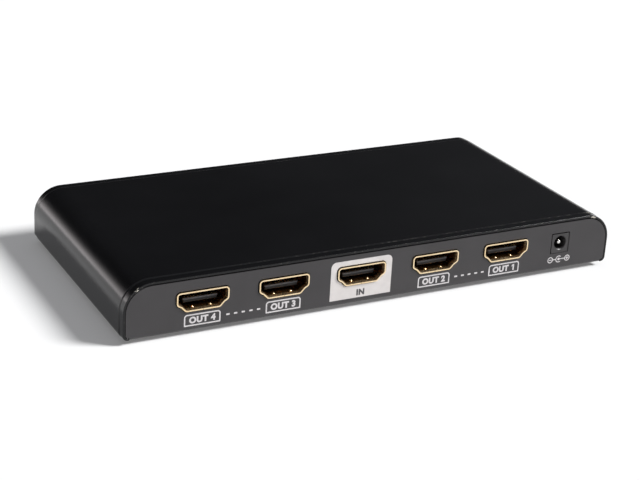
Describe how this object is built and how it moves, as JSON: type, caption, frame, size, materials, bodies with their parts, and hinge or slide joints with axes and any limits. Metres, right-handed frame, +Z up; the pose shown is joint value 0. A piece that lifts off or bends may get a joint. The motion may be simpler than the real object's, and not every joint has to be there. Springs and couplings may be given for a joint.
{
  "type": "video splitter",
  "caption": "Flat black metal box that splits one digital video input to several outputs, with gold-rimmed sockets and a power jack in a row on its port panel.",
  "frame": {"origin": "on the resting plane, under the middle of the part", "axes": "+X along the port panel to the viewer's right, -Y out of the port panel, +Z up"},
  "size_m": [0.157, 0.0768, 0.0176],
  "materials": {
    "cover_paint": "satin black paint on bent steel sheet",
    "tray_paint": "satin charcoal paint on bent steel sheet",
    "plated_steel": "zinc plated",
    "black_screw": "black oxide",
    "foot_rubber": "matt",
    "insulation_film": "translucent film",
    "board_green": "solder mask, semi-gloss",
    "gold_shell": "thin gold plating on formed sheet",
    "socket_plastic": "moulded, matt",
    "contact_gold": "gold flash",
    "jack_plastic": "moulded, fine texture",
    "pin_nickel": "nickel plated",
    "lamp_epoxy": "clear diffused epoxy",
    "tinned_leads": "tinned",
    "chip_epoxy": "moulded, matt",
    "pad_silicone": "soft pad",
    "sink_aluminium": "anodised",
    "ferrite": "sintered, matt",
    "can_aluminium": "drawn",
    "fuse_polymer": "matt",
    "resistor_ceramic": "glazed top",
    "capacitor_ceramic": "sintered",
    "panel_ink": "light screen-printed ink on the panels"
  },
  "bodies": {
    "case": {"top_cover": "cover_paint", "base_tray": "tray_paint", "cover_brackets": "plated_steel", "case_screws": "black_screw", "rubber_feet": "foot_rubber", "board_standoffs": "plated_steel", "board_screws": "plated_steel", "insulation_sheet": "insulation_film", "main_board": "board_green", "output_4_shell": "gold_shell", "output_4_insulator": "socket_plastic", "output_4_contacts": "contact_gold", "output_3_shell": "gold_shell", "output_3_insulator": "socket_plastic", "output_3_contacts": "contact_gold", "input_shell": "gold_shell", "input_insulator": "socket_plastic", "input_contacts": "contact_gold", "output_2_shell": "gold_shell", "output_2_insulator": "socket_plastic", "output_2_contacts": "contact_gold", "output_1_shell": "gold_shell", "output_1_insulator": "socket_plastic", "output_1_contacts": "contact_gold", "jack_housing": "jack_plastic", "jack_pin": "pin_nickel", "jack_sleeve_terminal": "pin_nickel", "lamp_lenses": "lamp_epoxy", "lamp_leads": "tinned_leads", "lamp_holders": "socket_plastic", "splitter_chip": "chip_epoxy", "splitter_chip_leads": "tinned_leads", "thermal_pad": "pad_silicone", "heat_sink": "sink_aluminium", "controller_chip": "chip_epoxy", "controller_chip_leads": "tinned_leads", "memory_chips": "chip_epoxy", "memory_chip_leads": "tinned_leads", "surge_arrays": "chip_epoxy", "regulators": "chip_epoxy", "regulator_leads": "tinned_leads", "inductor": "ferrite", "capacitor_bases": "socket_plastic", "capacitor_cans": "can_aluminium", "crystal": "can_aluminium", "input_fuse": "fuse_polymer", "input_diode": "chip_epoxy", "chip_resistors": "resistor_ceramic", "chip_capacitors": "capacitor_ceramic"},
    "spring_leaf": {"jack_spring_leaf": "pin_nickel"}
  },
  "joints": [
    {"name": "spring_leaf_lift", "type": "hinge", "parent": "case", "child": "spring_leaf", "pos_m": [0.06085, -0.02953, 0.01215], "axis": [-1, 0, 0], "range_deg": [0, 4], "stiffness_Nm_per_rad": 0.02}
  ]
}
